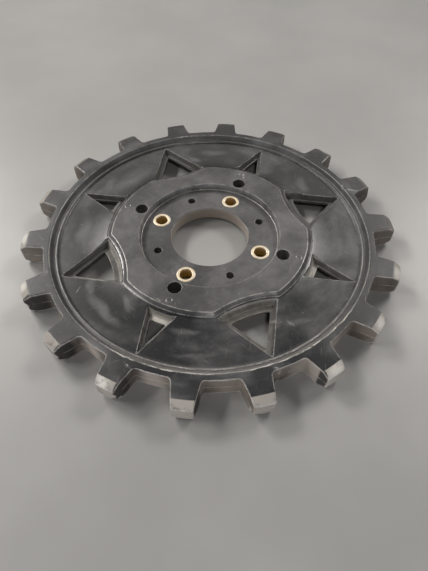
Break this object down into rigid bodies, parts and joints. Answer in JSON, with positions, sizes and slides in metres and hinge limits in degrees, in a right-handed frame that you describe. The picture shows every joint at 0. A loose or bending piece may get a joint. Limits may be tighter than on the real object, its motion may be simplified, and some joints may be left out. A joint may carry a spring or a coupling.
{
  "type": "track drive sprocket",
  "caption": "Wide flat toothed drive wheel with a lobed hub, triangular lightening windows, a centre bore and brass bushed bolt holes.",
  "frame": {"origin": "centre of the bore at the lower faces of the teeth", "axes": "+Z along the bore axis, towards the side with the bolt recess"},
  "size_m": [0.377, 0.3764, 0.025],
  "materials": {
    "black_plastic": "black moulded plastic, scuffed and dusty, with pale worn edges",
    "brass": "turned brass, bright on the end face"
  },
  "bodies": {
    "root": {"sprocket_body": "black_plastic", "brass_bush_1": "brass", "brass_bush_2": "brass", "brass_bush_3": "brass", "brass_bush_4": "brass"}
  },
  "joints": []
}
